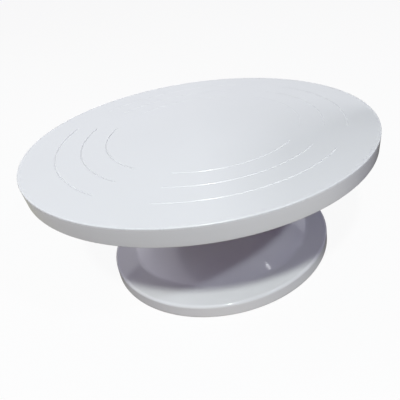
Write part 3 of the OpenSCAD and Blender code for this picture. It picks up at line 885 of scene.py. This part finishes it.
# from other sides a soft fill stands over the camera's shoulder
fill = area("fill", (0.0, 0.0, 1.0), 1.0, 1.0, POWER["fill"], (1.0, 0.985, 0.96))
fill.visible_glossy = False
fill.parent = cam_ob
fill.location = (-0.35, 0.35, 0.1)
fill.rotation_euler = (0.0, 0.0, 0.0)
drive(key.data, "energy", "%.3f if (%s) else %.3f" % (POWER["key"], near, 0.74 * POWER["key"]), (("x", "LOC_X"), ("y", "LOC_Y")))
drive(fill.data, "energy", "0.0 if (%s) else %.3f" % (near, POWER["fill"]), (("x", "LOC_X"), ("y", "LOC_Y")))
area("under", (0.3, -0.5, -1.0), 1.2, 0.8, POWER["under"], (1, 1, 1))

# what the gloss of the plate mirrors: a bright low wall and a darker part above it on the right
world = bpy.data.worlds.new("studio")
sc.world = world
world.use_nodes = True
wt = world.node_tree


def wn(kind, **kw):
    x = wt.nodes.new(kind)
    for k, v in kw.items():
        setattr(x, k, v)
    return x


def wmath(op, a, b=0.0, clamp=False):
    x = wn("ShaderNodeMath", operation=op, use_clamp=clamp)
    for i, v in enumerate((a, b)):
        if isinstance(v, bpy.types.NodeSocket):
            wt.links.new(v, x.inputs[i])
        else:
            x.inputs[i].default_value = v
    return x.outputs[0]


def wback(color, strength):
    x = wn("ShaderNodeBackground")
    x.inputs["Color"].default_value = (*color, 1)
    if isinstance(strength, bpy.types.NodeSocket):
        wt.links.new(strength, x.inputs["Strength"])
    else:
        x.inputs["Strength"].default_value = strength
    return x.outputs[0]


def wadd(a, b, fac=None):
    x = wn("ShaderNodeAddShader" if fac is None else "ShaderNodeMixShader")
    k = 0
    if fac is not None:
        wt.links.new(fac, x.inputs[0])
        k = 1
    wt.links.new(a, x.inputs[k])
    wt.links.new(b, x.inputs[k + 1])
    return x.outputs[0]


wd = wn("ShaderNodeSeparateXYZ")
wt.links.new(wn("ShaderNodeTexCoord").outputs["Generated"], wd.inputs[0])
w_az = wmath("MULTIPLY", wmath("ARCTAN2", wd.outputs[1], wd.outputs[0]), 57.29578)
w_el = wmath("MULTIPLY", wmath("ARCSINE", wd.outputs[2]), 57.29578)
w_off = wmath("SUBTRACT", wmath("MODULO", wmath("ADD", w_az, 465.0), 360.0), 180.0)      # degrees from azimuth 75, -180 to 180
w_edge = wmath("ADD", wmath("MULTIPLY", w_off, 0.167), 19.9)
w_soft = wmath("ADD", wmath("MULTIPLY", wmath("MAXIMUM", w_off, 0.0), 0.27), 0.5)
w_dark = wmath("ADD", wmath("DIVIDE", wmath("SUBTRACT", w_el, w_edge), wmath("MULTIPLY", w_soft, 2.0)), 0.5, True)
w_side = wmath("SUBTRACT", 1.0, wmath("DIVIDE", wmath("SUBTRACT", w_off, 11.0), 14.0, True), True)
w_dark = wmath("MULTIPLY", w_dark, w_side)
w_dark = wmath("MULTIPLY", w_dark, wmath("DIVIDE", wmath("ADD", w_off, 176.0), 26.0, True))
w_zenith = wmath("DIVIDE", wmath("SUBTRACT", w_el, 66.0), 18.0, True)      # the same all round near the zenith
w_dark = wmath("MULTIPLY", w_dark, wmath("SUBTRACT", 1.0, w_zenith))
w_up = wmath("GREATER_THAN", wd.outputs[2], 0.0)
w_back = wmath("DIVIDE", wmath("SUBTRACT", -40.0, w_off), 60.0, True)
w_fall = wmath("ADD", 0.72, wmath("MULTIPLY", wmath("MAXIMUM", wmath("MAXIMUM", wmath("DIVIDE", w_off, 25.0, True), w_back), w_zenith), 0.28))
w_hi = wmath("MULTIPLY", wmath("MULTIPLY", wmath("MULTIPLY", wmath("SUBTRACT", 1.0, w_dark), w_fall), w_up), POWER["wall"])
w_lo = wmath("MULTIPLY", wmath("MULTIPLY", w_dark, w_up), POWER["dim"])
mirror = wadd(wback((0.943, 0.947, 1.0), w_hi), wback((0.905, 0.8, 1.0), w_lo))
sky = wback((0.593, 0.424, 1.0), POWER["sky"])
lp = wn("ShaderNodeLightPath")
shade = wadd(sky, mirror, lp.outputs["Is Glossy Ray"])
shade = wadd(shade, wback((1, 1, 1), 1.0), lp.outputs["Is Camera Ray"])
for nd in list(wt.nodes):
    if nd.name == "Background":
        wt.nodes.remove(nd)
wt.links.new(shade, next(nd for nd in wt.nodes if nd.bl_idname == "ShaderNodeOutputWorld").inputs["Surface"])
sc.view_settings.view_transform = "Standard"
